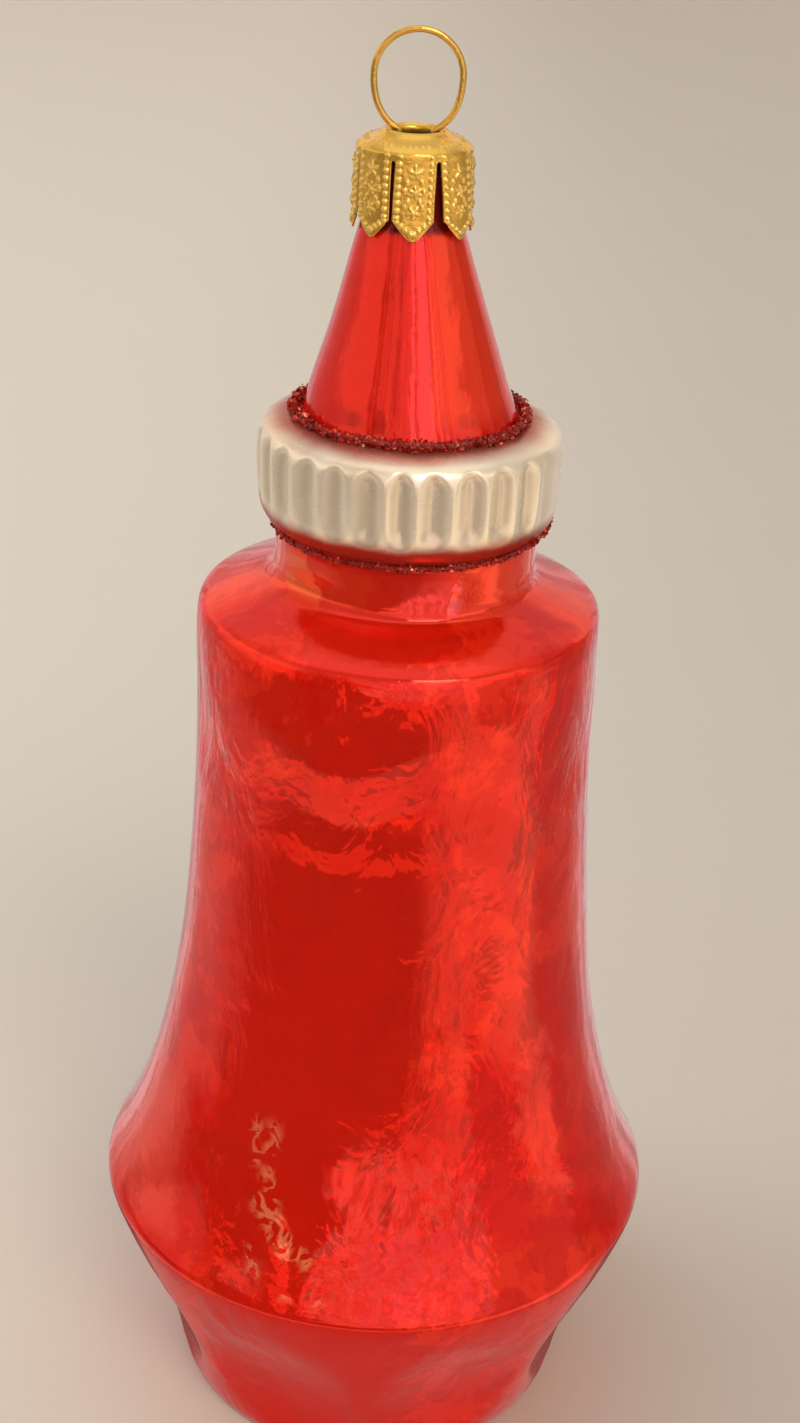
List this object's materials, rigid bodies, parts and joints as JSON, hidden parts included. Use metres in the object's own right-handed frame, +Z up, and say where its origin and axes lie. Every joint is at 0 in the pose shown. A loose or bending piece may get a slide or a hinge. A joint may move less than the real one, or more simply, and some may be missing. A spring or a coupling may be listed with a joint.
{
  "type": "glass ketchup bottle ornament",
  "caption": "Silvered red glass tree ornament shaped like a squeeze ketchup bottle, with a ribbed pearl collar, cone nozzle, gold crown cap and wire hanging loop.",
  "frame": {"origin": "centre of the foot's flat underside, on the surface that it stands on", "axes": "+Z up along the bottle's axis, towards the nozzle and the loop; the front faces -Y; the wire loop lies in the XZ plane"},
  "size_m": [0.0552, 0.055, 0.1359],
  "materials": {
    "red_glass": "blown glass, silvered inside, clear red lacquer outside; the collar is sprayed satin pearl white",
    "glitter": "fine dark red glitter set in glue",
    "gold_cap": "thin stamped metal, bright gold lacquer",
    "gold_wire": "drawn wire, gold lacquer"
  },
  "bodies": {
    "root": {"glass_bottle": "red_glass", "glitter_upper": "glitter", "glitter_lower": "glitter", "crown_cap": "gold_cap", "wire_loop": "gold_wire"}
  },
  "joints": []
}
